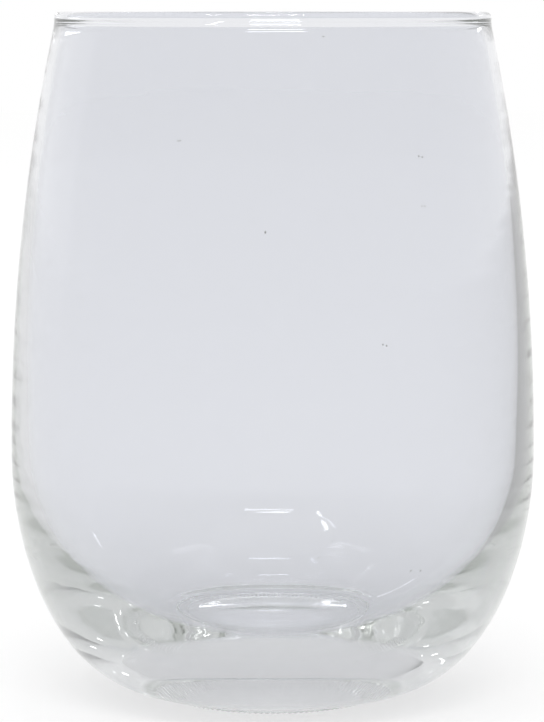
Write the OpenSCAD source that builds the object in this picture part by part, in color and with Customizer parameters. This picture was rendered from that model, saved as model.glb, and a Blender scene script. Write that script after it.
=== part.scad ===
// Stemless wine glass in clear glass, one continuous piece turned about its own axis.
// The outline is one half section. It starts at the middle of the bowl's floor, climbs the
// inside wall to the rounded rim, comes down the outside wall and round the heel to the flat
// sole and the foot ring, and goes back to the axis along the hollow under the base.

/* [Overall] */
// Height from the resting surface to the top of the rim
glass_h = 115.7; // [100:0.1:130]
// Greatest outside diameter, at the belly
belly_d = 88.9; // [82:0.1:100]
// Outside diameter of the wall at the rim
rim_d = 72.3; // [60:0.1:78]
// Height of the greatest diameter above the resting surface
belly_h = 41.1; // [34:0.1:50]

/* [Wall] */
// Thickness of the wall just under the rim bead
rim_wall = 1.4; // [1:0.05:2]
// Thickness of the wall at the belly
belly_wall = 2.9; // [2.2:0.05:3.6]
// Thickness of the rounded rim bead, a little more than the wall under it
bead_t = 1.9; // [1.6:0.05:2.8]

/* [Base] */
// Thickness of the glass at the middle of the base
base_t = 3.5; // [2.5:0.1:6]
// Rise of the hollow under the base, from its edge inside the foot ring to the axis
hollow_rise = 1.2; // [0.2:0.1:2]

/* [Foot ring] */
// Outside diameter of the ring's resting face
foot_d = 39.2; // [32:0.1:46]
// Width of the resting face
ring_w = 1.8; // [1:0.1:4]
// Height that the ring stands below the sole round it
ring_h = 1.25; // [0.4:0.05:2]
// Width of the sloping flank outside the ring
flank_w = 0.3; // [0.1:0.1:1.5]
// Width of the nearly flat sole between the ring and the curve of the heel
sole_w = 1.7; // [0.5:0.1:4]
// Height of the small step inside the ring, where the hollow starts
step_h = 0.15; // [0.05:0.05:1]
// Width of that step's slope
step_w = 0.3; // [0.1:0.05:1]

/* [Hidden] */
$fn = 180;

belly_r = belly_d / 2;
rim_r = rim_d / 2;
foot_r = foot_d / 2;
bead_r = bead_t / 2;
floor_z = step_h + hollow_rise + base_t;

// Where the sole runs into the outer flank of the foot ring
neck_r = foot_r + flank_w;

// Where the hollow under the base starts, at the top of the step inside the foot ring
hollow_r = foot_r - ring_w - step_w;

// Height of the bead's middle, where both walls end
bead_z = glass_h - bead_r;

// Radius of the long arc of the outside wall, which is upright at the belly and meets the rim
side_rise = glass_h - belly_h;
side_arc_r = (pow(side_rise, 2) + pow(belly_r - rim_r, 2)) / (2 * (belly_r - rim_r));

// Radius of the arc that domes the hollow under the base
hollow_arc_r = (pow(hollow_r, 2) + pow(hollow_rise, 2)) / (2 * hollow_rise);

// Lean of the inside wall at the belly, where it comes in on its way down
wall_lean = 2 * (belly_wall - rim_wall) / side_rise;

// Rise of the sole away from the ring, in degrees above the resting surface
sole_rise = 1.7;

// Where the curve of the heel runs into the sole
sole_r = neck_r + sole_w;
sole_z = ring_h + sole_w * tan(sole_rise);

// How far each curve holds its first direction, as shares of the height or the width it crosses
heel_drop_share = 0.485;
heel_sweep_share = 0.61;
well_drop_share = 0.6;
well_sweep_share = 0.6;

// Straight steps along each curve
side_steps = 16;
heel_steps = 20;
well_steps = 22;
hollow_steps = 5;

// One point of a cubic curve that leaves a towards b and arrives at d from c
function curve_point(a, b, c, d, t) =
    pow(1 - t, 3) * a + 3 * pow(1 - t, 2) * t * b + 3 * (1 - t) * pow(t, 2) * c + pow(t, 3) * d;

// Outside radius of the wall at a height between the belly and the rim
function outside_r(z) = belly_r - side_arc_r + sqrt(pow(side_arc_r, 2) - pow(z - belly_h, 2));

// The wall thickens on its way down, slowly at the rim and faster towards the belly
function wall_t(z) = rim_wall + (belly_wall - rim_wall) * pow((glass_h - z) / side_rise, 2);

function side_height(i) = belly_h + (bead_z - belly_h) * i / side_steps;

// Floor of the bowl, from its middle out and up to the wall at the belly
well = let (
    wall_r = belly_r - belly_wall,
    top = [wall_r, belly_h],
    under_top = top - well_drop_share * (belly_h - floor_z) * [wall_lean, 1],
    middle = [0, floor_z],
    beside_middle = [well_sweep_share * wall_r, floor_z]
) [for (i = [0 : well_steps - 1]) curve_point(middle, beside_middle, under_top, top, i / well_steps)];

// Inside wall, from the belly up to the bead
inside_wall = [for (i = [0 : side_steps])
    let (z = side_height(i)) [outside_r(z) - wall_t(z), z]];

// Outside wall, from the bead down to just above the belly
outside_wall = [for (i = [side_steps : -1 : 1])
    let (z = side_height(i)) [outside_r(z), z]];

// Heel, from the belly round and under to the sole
heel = let (
    top = [belly_r, belly_h],
    under_top = top - heel_drop_share * (belly_h - sole_z) * [0, 1],
    edge = [sole_r, sole_z],
    beside_edge = edge + heel_sweep_share * (belly_r - sole_r) * [cos(sole_rise), sin(sole_rise)]
) [for (i = [0 : heel_steps]) curve_point(top, under_top, beside_edge, edge, i / heel_steps)];

// Foot ring, from the sole down its flank and across the resting face
foot_ring = [[neck_r, ring_h], [foot_r, 0], [foot_r - ring_w, 0]];

// Hollow under the base, from the step inside the ring to the axis
hollow = [for (i = [0 : hollow_steps])
    let (r = hollow_r * (1 - i / hollow_steps))
    [r, step_h + hollow_rise - hollow_arc_r + sqrt(pow(hollow_arc_r, 2) - pow(r, 2))]];

// The wall, heel, base and foot ring, without the rim bead
module turned_wall() {
    rotate_extrude()
        polygon(concat(well, inside_wall, outside_wall, heel, foot_ring, hollow));
}

// The rounded bead that closes the top of the wall
module rim_bead() {
    rotate_extrude()
        translate([outside_r(bead_z) - wall_t(bead_z) / 2, bead_z])
            circle(r = bead_r);
}

module glass_body() {
    color([0.85, 0.87, 0.88, 0.35])
        union() {
            turned_wall();
            rim_bead();
        }
}

glass_body();
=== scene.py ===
import math

import bpy
from mathutils import Matrix, Vector


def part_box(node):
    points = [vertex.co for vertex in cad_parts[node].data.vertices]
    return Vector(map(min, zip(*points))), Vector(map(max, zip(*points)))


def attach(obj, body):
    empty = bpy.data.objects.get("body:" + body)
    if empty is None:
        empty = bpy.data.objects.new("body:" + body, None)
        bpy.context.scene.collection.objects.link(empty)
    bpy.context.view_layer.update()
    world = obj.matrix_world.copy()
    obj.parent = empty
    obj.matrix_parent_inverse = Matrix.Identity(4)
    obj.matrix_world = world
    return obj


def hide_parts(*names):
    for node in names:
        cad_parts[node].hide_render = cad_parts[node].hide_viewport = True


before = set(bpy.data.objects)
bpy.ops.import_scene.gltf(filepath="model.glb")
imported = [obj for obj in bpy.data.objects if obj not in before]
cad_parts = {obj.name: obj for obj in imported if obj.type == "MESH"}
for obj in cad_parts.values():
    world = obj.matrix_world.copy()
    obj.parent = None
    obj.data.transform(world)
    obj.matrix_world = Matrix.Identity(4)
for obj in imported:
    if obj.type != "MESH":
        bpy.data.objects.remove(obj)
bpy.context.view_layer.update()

scene = bpy.context.scene
scene.view_settings.view_transform = "Standard"
mm = 0.001


# camera, at the height of the rim, where a glass is looked at across a table

cameraSetup = {
    "distance": 500 * mm,  # from the glass's axis
    "height": 115.7 * mm,
    "aimHeight": 56.66 * mm,
    "imageHeight": 722,  # pixels of the picture taken
    "focalPixels": 2958.9,
    "sideShiftPixels": -0.7,
    "sensor": 36,
    "clipStart": 10 * mm,
    "bounces": 64,  # thick clear glass needs long light paths, or its base turns black
}


def makeCamera(setup):
    data = bpy.data.cameras.new("photoCamera")
    camera = bpy.data.objects.new("photoCamera", data)
    scene.collection.objects.link(camera)
    camera.location = (0, -setup["distance"], setup["height"])
    view = Vector((0, 0, setup["aimHeight"])) - camera.location
    camera.rotation_euler = view.to_track_quat("-Z", "Y").to_euler()
    data.sensor_width = setup["sensor"]
    data.lens = setup["focalPixels"] * setup["sensor"] / setup["imageHeight"]
    data.shift_x = setup["sideShiftPixels"] / setup["imageHeight"]
    data.clip_start = setup["clipStart"]
    data.dof.use_dof = False
    scene.camera = camera


makeCamera(cameraSetup)
for limit in ("max_bounces", "transmission_bounces", "glossy_bounces"):
    setattr(scene.cycles, limit, cameraSetup["bounces"])
print("camera done")


# small helpers for node trees

def addNode(tree, kind, **settings):
    node = tree.nodes.new(kind)
    for name, value in settings.items():
        setattr(node, name, value)
    return node


def feed(tree, socket, value):
    if isinstance(value, bpy.types.NodeSocket):
        tree.links.new(value, socket)
    else:
        socket.default_value = value


def calc(tree, operation, *terms):
    node = addNode(tree, "ShaderNodeMath", operation=operation)
    for socket, term in zip(node.inputs, terms):
        feed(tree, socket, term)
    return node.outputs[0]


def point(tree, across, up, along=0.0):
    node = addNode(tree, "ShaderNodeCombineXYZ")
    for socket, value in zip(node.inputs, (across, up, along)):
        feed(tree, socket, value)
    return node.outputs[0]


# the glass: its half outline is drawn in Geometry Nodes and swept round the axis

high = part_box("glass_body")[1]  # upper corner of the solid's box

glassShape = {
    "height": high.z,
    "bellyRadius": min(high.x, high.y),
    "rimRadius": 36.15 * mm,
    "bellyHeight": 41.1 * mm,
    "rimWall": 1.4 * mm,  # wall just under the rim bead
    "bellyWall": 2.9 * mm,
    "beadRadius": 0.95 * mm,
    "neckHeight": 1.5 * mm,  # how far below the bead's middle it runs into the wall
    "baseThickness": 3.5 * mm,
    "hollowRise": 1.2 * mm,
    "footRadius": 19.6 * mm,
    "ringWidth": 1.8 * mm,
    "ringHeight": 1.25 * mm,  # that the ring stands below the sole
    "flankWidth": 0.3 * mm,
    "cornerRadius": 0.2 * mm,
    "soleWidth": 1.7 * mm,  # nearly flat, round the ring
    "soleRise": math.radians(1.7),
    "stepHeight": 0.15 * mm,  # inside the ring
    "stepWidth": 0.3 * mm,
    "stepCorner": 0.12 * mm,
    "heelDropShare": 0.485,
    "heelSweepShare": 0.61,
    "wellDropShare": 0.6,
    "wellSweepShare": 0.6,
    "stippleDepth": 0.12 * mm,  # of the small dents in the foot ring
    "stippleTopShare": 0.3,  # of the ring's height, where the dents end
    "waveDepth": 0.02 * mm,  # unevenness of the inside, from blowing
    "waveSize": 14 * mm,
    "waveDetail": 1.0,
    "weldDistance": 0.001 * mm,
    "stippleCount": 128,
    "stepsAround": 512,
    "wellSteps": 48,  # these nine go along the outline
    "wallSteps": 24,
    "neckSteps": 6,
    "quarterBeadSteps": 7,
    "heelSteps": 40,
    "flankSteps": 6,
    "restingFaceSteps": 4,
    "innerSlopeSteps": 6,
    "hollowSteps": 8,
    "seed": 7,
}


def buildGlassTree(sizes):
    tree = bpy.data.node_groups.new("turnedGlass", "GeometryNodeTree")
    tree.interface.new_socket(name="Geometry", in_out="INPUT", socket_type="NodeSocketGeometry")
    tree.interface.new_socket(name="Geometry", in_out="OUTPUT", socket_type="NodeSocketGeometry")
    for name, value in sizes.items():
        kind = "NodeSocketInt" if isinstance(value, int) else "NodeSocketFloat"
        tree.interface.new_socket(name=name, in_out="INPUT", socket_type=kind)
    tree.interface.new_socket(name="glass", in_out="INPUT", socket_type="NodeSocketMaterial")
    given = addNode(tree, "NodeGroupInput").outputs
    result = addNode(tree, "NodeGroupOutput")

    def plus(a, b):
        return calc(tree, "ADD", a, b)

    def minus(a, b):
        return calc(tree, "SUBTRACT", a, b)

    def times(a, b):
        return calc(tree, "MULTIPLY", a, b)

    def over(a, b):
        return calc(tree, "DIVIDE", a, b)

    def squared(a):
        return calc(tree, "POWER", a, 2.0)

    bellyR, bellyZ = given["bellyRadius"], given["bellyHeight"]
    beadR, footR, ringH = given["beadRadius"], given["footRadius"], given["ringHeight"]
    cornerR = given["cornerRadius"]
    beadZ = minus(given["height"], beadR)
    wallTop = minus(beadZ, given["neckHeight"])
    sideRise = minus(given["height"], bellyZ)
    draw = minus(bellyR, given["rimRadius"])
    sideArcR = over(plus(squared(sideRise), squared(draw)), times(2.0, draw))
    wallGain = minus(given["bellyWall"], given["rimWall"])
    wallLean = over(times(2.0, wallGain), sideRise)
    stepH, stepCorner = given["stepHeight"], given["stepCorner"]
    domeZ = plus(stepH, given["hollowRise"])
    floorZ = plus(domeZ, given["baseThickness"])
    innerBellyR = minus(bellyR, given["bellyWall"])
    neckR = plus(footR, given["flankWidth"])
    soleR = plus(neckR, given["soleWidth"])
    soleZ = plus(ringH, times(given["soleWidth"], calc(tree, "TANGENT", given["soleRise"])))
    innerFootR = minus(footR, given["ringWidth"])
    hollowR = minus(innerFootR, given["stepWidth"])
    quarterShare = 0.5523  # of a radius, the handle that makes a cubic follow a quarter circle
    nearShare, farShare = 0.33, 0.67  # of a width, where the handles of a shallow stretch stand

    def outsideRadius(z):
        drop = calc(tree, "SQRT", minus(squared(sideArcR), squared(minus(z, bellyZ))))
        return plus(minus(bellyR, sideArcR), drop)

    def wallThickness(z):
        share = over(minus(given["height"], z), sideRise)
        return plus(given["rimWall"], times(wallGain, squared(share)))

    def bend(count, start, startHandle, endHandle, end):  # one cubic stretch of the outline
        node = addNode(tree, "GeometryNodeCurvePrimitiveBezierSegment", mode="POSITION")
        for socket, value in zip(node.inputs, (count, start, startHandle, endHandle, end)):
            feed(tree, socket, value)
        return node.outputs[0]

    def side(firstEnd, lastEnd, inside):  # a wall, drawn by the rule for its radius
        line = addNode(tree, "GeometryNodeCurvePrimitiveLine")
        feed(tree, line.inputs["Start"], point(tree, 0.0, firstEnd))
        feed(tree, line.inputs["End"], point(tree, 0.0, lastEnd))
        cut = addNode(tree, "GeometryNodeResampleCurve")
        feed(tree, cut.inputs["Curve"], line.outputs[0])
        feed(tree, cut.inputs["Count"], plus(given["wallSteps"], 1.0))
        place = addNode(tree, "ShaderNodeSeparateXYZ")
        feed(tree, place.inputs[0], addNode(tree, "GeometryNodeInputPosition").outputs[0])
        z = place.outputs["Y"]
        radius = minus(outsideRadius(z), wallThickness(z)) if inside else outsideRadius(z)
        shaped = addNode(tree, "GeometryNodeSetPosition")
        feed(tree, shaped.inputs["Geometry"], cut.outputs[0])
        feed(tree, shaped.inputs["Position"], point(tree, radius, z))
        return shaped.outputs[0]

    # floor of the bowl
    wellDrop = times(given["wellDropShare"], minus(bellyZ, floorZ))
    well = bend(
        given["wellSteps"],
        point(tree, 0.0, floorZ),
        point(tree, times(given["wellSweepShare"], innerBellyR), floorZ),
        point(tree, minus(innerBellyR, times(wellDrop, wallLean)), minus(bellyZ, wellDrop)),
        point(tree, innerBellyR, bellyZ),
    )
    insideWall = side(bellyZ, wallTop, True)

    # rim bead: a neck on each side and a round top
    outerTopR = outsideRadius(wallTop)
    innerTopR = minus(outerTopR, wallThickness(wallTop))
    beadMiddleR = minus(outsideRadius(beadZ), times(0.5, wallThickness(beadZ)))
    innerBeadR = minus(beadMiddleR, beadR)
    outerBeadR = plus(beadMiddleR, beadR)
    halfNeck = times(0.5, given["neckHeight"])
    roundHandle = times(quarterShare, beadR)
    innerNeck = bend(
        given["neckSteps"],
        point(tree, innerTopR, wallTop),
        point(tree, innerTopR, plus(wallTop, halfNeck)),
        point(tree, innerBeadR, minus(beadZ, halfNeck)),
        point(tree, innerBeadR, beadZ),
    )
    innerBead = bend(
        given["quarterBeadSteps"],
        point(tree, innerBeadR, beadZ),
        point(tree, innerBeadR, plus(beadZ, roundHandle)),
        point(tree, minus(beadMiddleR, roundHandle), given["height"]),
        point(tree, beadMiddleR, given["height"]),
    )
    outerBead = bend(
        given["quarterBeadSteps"],
        point(tree, beadMiddleR, given["height"]),
        point(tree, plus(beadMiddleR, roundHandle), given["height"]),
        point(tree, outerBeadR, plus(beadZ, roundHandle)),
        point(tree, outerBeadR, beadZ),
    )
    outerNeck = bend(
        given["neckSteps"],
        point(tree, outerBeadR, beadZ),
        point(tree, outerBeadR, minus(beadZ, halfNeck)),
        point(tree, outerTopR, plus(wallTop, halfNeck)),
        point(tree, outerTopR, wallTop),
    )
    outsideWall = side(wallTop, bellyZ, False)

    # heel, from the belly round and under to the sole, and the sole to the foot ring
    heelSweep = times(given["heelSweepShare"], minus(bellyR, soleR))
    heel = bend(
        given["heelSteps"],
        point(tree, bellyR, bellyZ),
        point(tree, bellyR, minus(bellyZ, times(given["heelDropShare"], minus(bellyZ, soleZ)))),
        point(
            tree,
            plus(soleR, times(heelSweep, calc(tree, "COSINE", given["soleRise"]))),
            plus(soleZ, times(heelSweep, calc(tree, "SINE", given["soleRise"]))),
        ),
        point(tree, soleR, soleZ),
    )
    sole = addNode(tree, "GeometryNodeCurvePrimitiveLine")
    feed(tree, sole.inputs["Start"], point(tree, soleR, soleZ))
    feed(tree, sole.inputs["End"], point(tree, neckR, ringH))

    # foot ring with rounded corners
    outerFlank = bend(
        given["flankSteps"],
        point(tree, neckR, ringH),
        point(tree, footR, ringH),
        point(tree, plus(footR, cornerR), 0.0),
        point(tree, minus(footR, cornerR), 0.0),
    )
    restingFace = bend(
        given["restingFaceSteps"],
        point(tree, minus(footR, cornerR), 0.0),
        point(tree, minus(footR, times(nearShare, given["ringWidth"])), 0.0),
        point(tree, plus(innerFootR, times(nearShare, given["ringWidth"])), 0.0),
        point(tree, plus(innerFootR, stepCorner), 0.0),
    )
    innerStep = bend(
        given["innerSlopeSteps"],
        point(tree, plus(innerFootR, stepCorner), 0.0),
        point(tree, minus(innerFootR, stepCorner), 0.0),
        point(tree, plus(hollowR, stepCorner), stepH),
        point(tree, hollowR, stepH),
    )
    hollow = bend(
        given["hollowSteps"],
        point(tree, hollowR, stepH),
        point(tree, times(farShare, hollowR), plus(stepH, times(farShare, given["hollowRise"]))),
        point(tree, times(nearShare, hollowR), domeZ),
        point(tree, 0.0, domeZ),
    )

    outline = addNode(tree, "GeometryNodeJoinGeometry")
    stretches = (well, insideWall, innerNeck, innerBead, outerBead, outerNeck, outsideWall,
                 heel, sole.outputs[0], outerFlank, restingFace, innerStep, hollow)
    for stretch in stretches:
        tree.links.new(stretch, outline.inputs[0])

    # the sweep wants the outline as an offset from its guide circle, with up as down
    offset = addNode(tree, "GeometryNodeTransform")
    feed(tree, offset.inputs["Geometry"], outline.outputs[0])
    feed(tree, offset.inputs["Translation"], point(tree, times(bellyR, -1.0), 0.0))
    feed(tree, offset.inputs["Scale"], (1.0, -1.0, 1.0))
    guide = addNode(tree, "GeometryNodeCurvePrimitiveCircle", mode="RADIUS")
    feed(tree, guide.inputs["Resolution"], given["stepsAround"])
    feed(tree, guide.inputs["Radius"], bellyR)
    sweep = addNode(tree, "GeometryNodeCurveToMesh")
    feed(tree, sweep.inputs["Curve"], guide.outputs[0])
    feed(tree, sweep.inputs["Profile Curve"], offset.outputs[0])
    weld = addNode(tree, "GeometryNodeMergeByDistance")
    feed(tree, weld.inputs["Geometry"], sweep.outputs[0])
    feed(tree, weld.inputs["Distance"], given["weldDistance"])

    # dents in the foot ring, which leave small dots to rest on
    spot = addNode(tree, "GeometryNodeInputPosition").outputs[0]
    parts = addNode(tree, "ShaderNodeSeparateXYZ")
    feed(tree, parts.inputs[0], spot)
    x, y, z = parts.outputs
    radius = calc(tree, "SQRT", plus(squared(x), squared(y)))
    turn = calc(tree, "ARCTAN2", y, x)
    ripple = calc(tree, "COSINE", times(turn, given["stippleCount"]))
    dent = times(minus(1.0, ripple), 0.5)
    dentTop = times(given["stippleTopShare"], ringH)
    dentShare = calc(tree, "MAXIMUM", minus(1.0, over(z, dentTop)), 0.0)
    onRing = calc(tree, "GREATER_THAN", radius, hollowR)
    dentLift = times(times(times(dent, dentShare), onRing), given["stippleDepth"])
    stipple = addNode(tree, "GeometryNodeSetPosition")
    feed(tree, stipple.inputs["Geometry"], weld.outputs[0])
    feed(tree, stipple.inputs["Offset"], point(tree, 0.0, 0.0, dentLift))

    # the inside is a little uneven, and the outside is left true
    wave = addNode(tree, "ShaderNodeTexNoise", noise_dimensions="4D")
    feed(tree, wave.inputs["Vector"], spot)
    feed(tree, wave.inputs["W"], given["seed"])
    feed(tree, wave.inputs["Scale"], over(1.0, given["waveSize"]))
    feed(tree, wave.inputs["Detail"], given["waveDetail"])
    outerHere = outsideRadius(calc(tree, "MAXIMUM", z, bellyZ))
    isInner = calc(tree, "LESS_THAN", radius, minus(outerHere, times(0.5, given["rimWall"])))
    isHigh = calc(tree, "GREATER_THAN", z, plus(domeZ, times(0.5, given["baseThickness"])))
    height = times(times(minus(wave.outputs[0], 0.5), times(2.0, given["waveDepth"])),
                   times(isInner, isHigh))
    push = addNode(tree, "ShaderNodeVectorMath", operation="SCALE")
    feed(tree, push.inputs[0], addNode(tree, "GeometryNodeInputNormal").outputs[0])
    feed(tree, push.inputs["Scale"], height)
    uneven = addNode(tree, "GeometryNodeSetPosition")
    feed(tree, uneven.inputs["Geometry"], stipple.outputs[0])
    feed(tree, uneven.inputs["Offset"], push.outputs[0])

    smooth = addNode(tree, "GeometryNodeSetShadeSmooth")
    feed(tree, smooth.inputs["Geometry"], uneven.outputs[0])
    real = addNode(tree, "GeometryNodeRealizeInstances")
    feed(tree, real.inputs["Geometry"], smooth.outputs[0])
    finish = addNode(tree, "GeometryNodeSetMaterial")
    feed(tree, finish.inputs["Geometry"], real.outputs[0])
    feed(tree, finish.inputs["Material"], given["glass"])
    feed(tree, result.inputs[0], finish.outputs[0])
    return tree


def makeFromTree(name, tree, values):
    carrier = bpy.data.objects.new(name + "Carrier", bpy.data.meshes.new(name + "Carrier"))
    scene.collection.objects.link(carrier)
    modifier = carrier.modifiers.new("build", "NODES")
    modifier.node_group = tree
    for socket in tree.interface.items_tree:
        if socket.in_out == "INPUT" and socket.name in values:
            modifier[socket.identifier] = values[socket.name]
    ready = carrier.evaluated_get(bpy.context.evaluated_depsgraph_get())
    mesh = bpy.data.meshes.new_from_object(ready)
    mesh.name = name
    carrier.modifiers.remove(modifier)
    bpy.data.objects.remove(carrier)
    piece = bpy.data.objects.new(name, mesh)
    scene.collection.objects.link(piece)
    return piece


glassLook = {
    "tint": (0.832, 0.84, 0.868, 1),
    "speckTint": (0.35, 0.35, 0.34, 1),
    "ior": 1.52,
    "ringRoughness": 0.22,  # frosted, where the glass stands
    "ringTop": 0.3 * mm,
    "grainSize": 1 * mm,
    "smudgeRoughness": 0.05,
    "smudgeScale": 38.0,
    "smudgeDetail": 5.0,
    "smudgeDistortion": 0.8,
    "smudgeRange": (0.55, 0.72),  # of the noise, where a smudge starts and is full
    "streakDepth": 0.03 * mm,  # turning lines round the glass
    "streakScale": (30.0, 30.0, 210.0),
    "streakDetail": 2.0,
    "speckSpacing": 26 * mm,
    "speckSize": 0.17 * mm,
    "speckShare": 0.5,  # of the cells
    "absorbColor": (0.50, 0.53, 0.48, 1),
    "absorbDensity": 7.5,  # per metre
}


def makeGlassMaterial(look, radius):
    material = bpy.data.materials.new("clearGlass")
    material.use_nodes = True
    tree = material.node_tree
    glass = tree.nodes["Principled BSDF"]
    glass.inputs["IOR"].default_value = look["ior"]
    glass.inputs["Transmission Weight"].default_value = 1.0

    spot = addNode(tree, "ShaderNodeTexCoord").outputs["Object"]
    parts = addNode(tree, "ShaderNodeSeparateXYZ")
    feed(tree, parts.inputs[0], spot)

    # frost on the foot ring, and faint smudges over the rest
    onRing = addNode(tree, "ShaderNodeMapRange", interpolation_type="SMOOTHSTEP")
    feed(tree, onRing.inputs["Value"], parts.outputs["Z"])
    feed(tree, onRing.inputs["From Min"], look["ringTop"])
    feed(tree, onRing.inputs["From Max"], 0.0)
    grain = addNode(tree, "ShaderNodeTexNoise")
    feed(tree, grain.inputs["Vector"], spot)
    feed(tree, grain.inputs["Scale"], 1 / look["grainSize"])
    rough = calc(tree, "MULTIPLY_ADD", grain.outputs[0], look["ringRoughness"], look["ringRoughness"] / 2)
    frost = calc(tree, "MULTIPLY", onRing.outputs[0], rough)
    smudge = addNode(tree, "ShaderNodeTexNoise")
    feed(tree, smudge.inputs["Vector"], spot)
    feed(tree, smudge.inputs["Scale"], look["smudgeScale"])
    feed(tree, smudge.inputs["Detail"], look["smudgeDetail"])
    feed(tree, smudge.inputs["Distortion"], look["smudgeDistortion"])
    smudged = addNode(tree, "ShaderNodeMapRange", interpolation_type="SMOOTHSTEP")
    feed(tree, smudged.inputs["Value"], smudge.outputs[0])
    feed(tree, smudged.inputs["From Min"], look["smudgeRange"][0])
    feed(tree, smudged.inputs["From Max"], look["smudgeRange"][1])
    feed(tree, smudged.inputs["To Max"], look["smudgeRoughness"])
    feed(tree, glass.inputs["Roughness"], calc(tree, "ADD", frost, smudged.outputs[0]))

    # fine streaks that run round the glass
    stretch = addNode(tree, "ShaderNodeMapping")
    feed(tree, stretch.inputs["Vector"], spot)
    feed(tree, stretch.inputs["Scale"], look["streakScale"])
    streaks = addNode(tree, "ShaderNodeTexNoise")
    feed(tree, streaks.inputs["Vector"], stretch.outputs[0])
    feed(tree, streaks.inputs["Scale"], 1.0)
    feed(tree, streaks.inputs["Detail"], look["streakDetail"])
    bump = addNode(tree, "ShaderNodeBump")
    feed(tree, bump.inputs["Height"], streaks.outputs[0])
    feed(tree, bump.inputs["Distance"], look["streakDepth"])
    tree.links.new(bump.outputs[0], glass.inputs["Normal"])

    # a few specks of dust, spread over the glass as if it were unrolled
    turn = calc(tree, "ARCTAN2", parts.outputs["Y"], parts.outputs["X"])
    unrolled = addNode(tree, "ShaderNodeCombineXYZ")
    feed(tree, unrolled.inputs["X"], calc(tree, "MULTIPLY", turn, radius))
    feed(tree, unrolled.inputs["Y"], parts.outputs["Z"])
    cells = addNode(tree, "ShaderNodeTexVoronoi", voronoi_dimensions="2D")
    feed(tree, cells.inputs["Vector"], unrolled.outputs[0])
    feed(tree, cells.inputs["Scale"], 1 / look["speckSpacing"])
    picked = addNode(tree, "ShaderNodeSeparateColor")
    feed(tree, picked.inputs[0], cells.outputs["Color"])
    sizeInCell = look["speckSize"] / look["speckSpacing"]
    inSpeck = calc(tree, "LESS_THAN", cells.outputs["Distance"], sizeInCell)
    hasSpeck = calc(tree, "LESS_THAN", picked.outputs[0], look["speckShare"])
    color = addNode(tree, "ShaderNodeMix", data_type="RGBA")
    feed(tree, color.inputs["Factor"], calc(tree, "MULTIPLY", inSpeck, hasSpeck))
    feed(tree, color.inputs[6], look["tint"])  # 6 and 7 are the two colours, and 2 is their mix
    feed(tree, color.inputs[7], look["speckTint"])
    feed(tree, glass.inputs["Base Color"], color.outputs[2])

    absorb = addNode(tree, "ShaderNodeVolumeAbsorption")
    absorb.inputs["Color"].default_value = look["absorbColor"]
    absorb.inputs["Density"].default_value = look["absorbDensity"]
    tree.links.new(absorb.outputs[0], tree.nodes["Material Output"].inputs["Volume"])
    return material


glassMaterial = makeGlassMaterial(glassLook, glassShape["bellyRadius"])
glassTree = buildGlassTree(glassShape)
glassBody = makeFromTree("wineGlass", glassTree, dict(glassShape, glass=glassMaterial))
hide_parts("glass_body")
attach(glassBody, "root")
print("glass done:", len(glassBody.data.polygons), "faces")


# studio: pale floor, white surroundings, and lamps that leave the small reflections

studio = {
    "floorSize": 6.0,
    "floorColor": (0.36, 0.36, 0.36, 1),
    "floorGlow": 0.63,
    "floorDrop": 0.02 * mm,  # keeps the floor clear of the resting face
    "paintedGleam": 0.18,  # painted pool of light on the floor under the hollow, for the light the bowl gathers there
    "paintedGleamRadius": 17 * mm,
    "leftShade": 0.2,  # painted shade: how much darker the glass's edge sees the floor on each side
    "rightShade": 0.62,
    "shadeStart": (25 * mm, 55 * mm),  # how far to the side it starts and is full
    "shadeTurn": (math.radians(-40), math.radians(35)),  # the same, from the side towards the back
    "shadeReach": (3.0, 0.9),  # how far out it has faded, and is still full
    "roomColor": (1, 1, 1, 1),
    "roomStrength": 1.0,
    "lampAim": 40 * mm,  # height on the glass's axis that the lamps face
}

lamps = {  # two ends, width, brightness beside the white surroundings
    "frontStrip": ((0.33, -0.86, 1.2), (-0.25, -0.86, 1.2), 0.075, 34.0),
    "sideStrip": ((-0.522, -0.782, 1.169), (-0.556, -0.393, 1.337), 0.045, 20.0),
    "backStrip": ((-0.1, 0.685, 1.333), (0.085, 0.685, 1.333), 0.03, 18.0),
    "backLeftLine": ((0.951, 1.093, 0.388), (0.81, 1.201, 0.388), 0.035, 5.0),
    "backMiddleLine": ((0.023, 1.449, 0.388), (-0.02, 1.449, 0.388), 0.03, 4.0),
    "backRightLine": ((-0.257, 1.455, 0.26), (-0.432, 1.413, 0.26), 0.035, 5.0),
    "leftWindow": ((-1.3, 0.75, -0.3), (-1.3, 0.75, 1.6), 0.8, 0.12),
}


def seenRay(tree):  # 1 for rays that show the background straight, in a reflection or through glass
    path = addNode(tree, "ShaderNodeLightPath")
    seen = calc(tree, "MAXIMUM", path.outputs["Is Camera Ray"], path.outputs["Is Glossy Ray"])
    return calc(tree, "MAXIMUM", seen, path.outputs["Is Transmission Ray"])


def softStep(tree, value, start, end):  # 0 at start and 1 at end, whichever is larger
    node = addNode(tree, "ShaderNodeMapRange", interpolation_type="SMOOTHSTEP")
    feed(tree, node.inputs["Value"], value)
    feed(tree, node.inputs["From Min"], start)
    feed(tree, node.inputs["From Max"], end)
    return node.outputs[0]


def paintedFloorGleam(tree, setup):  # painted pool of light on the floor under the hollow, for the light the bowl gathers there
    spot = addNode(tree, "ShaderNodeTexCoord").outputs["Object"]
    length = addNode(tree, "ShaderNodeVectorMath", operation="LENGTH")
    feed(tree, length.inputs[0], spot)
    paintedGleam = softStep(tree, length.outputs["Value"], setup["paintedGleamRadius"], 0.5 * setup["paintedGleamRadius"])
    return calc(tree, "MULTIPLY_ADD", paintedGleam, setup["paintedGleam"], 1.0)


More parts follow.
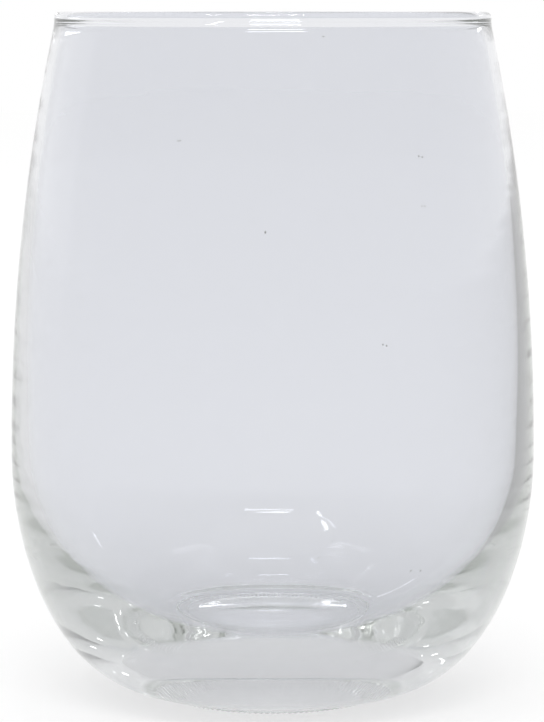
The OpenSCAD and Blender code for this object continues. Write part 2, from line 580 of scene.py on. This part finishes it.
def paintedEdgeShade(tree, setup):  # painted shade on the floor, for the darker room beside the glass, seen only in light that the wall bends
    path = addNode(tree, "ShaderNodeLightPath")
    oneWall = calc(tree, "LESS_THAN", path.outputs["Transmission Depth"], 2.5)  # in and out again
    mirrored = calc(tree, "GREATER_THAN", path.outputs["Glossy Depth"], 0.5)  # at least once
    bent = calc(tree, "MULTIPLY", oneWall, mirrored)
    inWall = calc(tree, "MULTIPLY", path.outputs["Is Transmission Ray"], bent)
    parts = addNode(tree, "ShaderNodeSeparateXYZ")
    feed(tree, parts.inputs[0], addNode(tree, "ShaderNodeTexCoord").outputs["Object"])
    across, along = parts.outputs["X"], parts.outputs["Y"]
    aside = calc(tree, "ABSOLUTE", across)
    beside = softStep(tree, aside, *setup["shadeStart"])
    turn = softStep(tree, calc(tree, "ARCTAN2", along, aside), *setup["shadeTurn"])
    farther = calc(tree, "MAXIMUM", aside, calc(tree, "ABSOLUTE", along))
    near = softStep(tree, farther, *setup["shadeReach"])
    place = calc(tree, "MULTIPLY", beside, calc(tree, "MULTIPLY", turn, near))
    onRight = calc(tree, "GREATER_THAN", across, 0.0)
    sideGain = setup["rightShade"] - setup["leftShade"]
    depth = calc(tree, "MULTIPLY_ADD", onRight, sideGain, setup["leftShade"])
    shade = calc(tree, "MULTIPLY", calc(tree, "MULTIPLY", inWall, place), depth)
    return calc(tree, "SUBTRACT", 1.0, shade)


def makeFloor(setup):
    half = setup["floorSize"] / 2
    mesh = bpy.data.meshes.new("studioFloor")
    corners = [(-half, -half, 0), (half, -half, 0), (half, half, 0), (-half, half, 0)]
    mesh.from_pydata(corners, [], [(0, 1, 2, 3)])
    floor = bpy.data.objects.new("studioFloor", mesh)
    scene.collection.objects.link(floor)
    floor.location.z = -setup["floorDrop"]
    material = bpy.data.materials.new("paleFloor")
    material.use_nodes = True
    tree = material.node_tree
    tree.nodes.remove(tree.nodes["Principled BSDF"])
    matt = addNode(tree, "ShaderNodeBsdfDiffuse")
    # painted pool of light under the hollow, times painted shade seen through the glass's edge
    level = calc(tree, "MULTIPLY", paintedFloorGleam(tree, setup), paintedEdgeShade(tree, setup))
    color = addNode(tree, "ShaderNodeCombineColor")
    for socket, value in zip(color.inputs, setup["floorColor"]):
        feed(tree, socket, calc(tree, "MULTIPLY", level, value))
    feed(tree, matt.inputs["Color"], color.outputs[0])
    glow = addNode(tree, "ShaderNodeEmission")
    glowing = calc(tree, "MULTIPLY", seenRay(tree), setup["floorGlow"])
    feed(tree, glow.inputs["Strength"], calc(tree, "MULTIPLY", glowing, level))
    both = addNode(tree, "ShaderNodeAddShader")
    tree.links.new(matt.outputs[0], both.inputs[0])
    tree.links.new(glow.outputs[0], both.inputs[1])
    tree.links.new(both.outputs[0], tree.nodes["Material Output"].inputs["Surface"])
    mesh.materials.append(material)


def makeWorld(setup):
    world = bpy.data.worlds.new("studioWorld")
    scene.world = world
    world.use_nodes = True
    background = world.node_tree.nodes["Background"]
    background.inputs["Color"].default_value = setup["roomColor"]
    background.inputs["Strength"].default_value = setup["roomStrength"]


def makeLamp(name, aimHeight, firstEnd, secondEnd, width, brightness):
    firstEnd, secondEnd = Vector(firstEnd), Vector(secondEnd)
    data = bpy.data.lights.new(name, "AREA")
    data.shape = "RECTANGLE"
    data.size = (secondEnd - firstEnd).length
    data.size_y = width
    data.energy = brightness * data.size * width * math.pi
    lamp = bpy.data.objects.new(name, data)
    scene.collection.objects.link(lamp)
    middle = (firstEnd + secondEnd) / 2
    along = (secondEnd - firstEnd).normalized()
    back = (middle - Vector((0, 0, aimHeight))).normalized()
    back = (back - back.dot(along) * along).normalized()
    turn = Matrix((along, back.cross(along), back)).transposed()
    lamp.matrix_world = Matrix.Translation(middle) @ turn.to_4x4()


makeFloor(studio)
makeWorld(studio)
for lampName, lampValues in lamps.items():
    makeLamp(lampName, studio["lampAim"], *lampValues)
print("studio done")
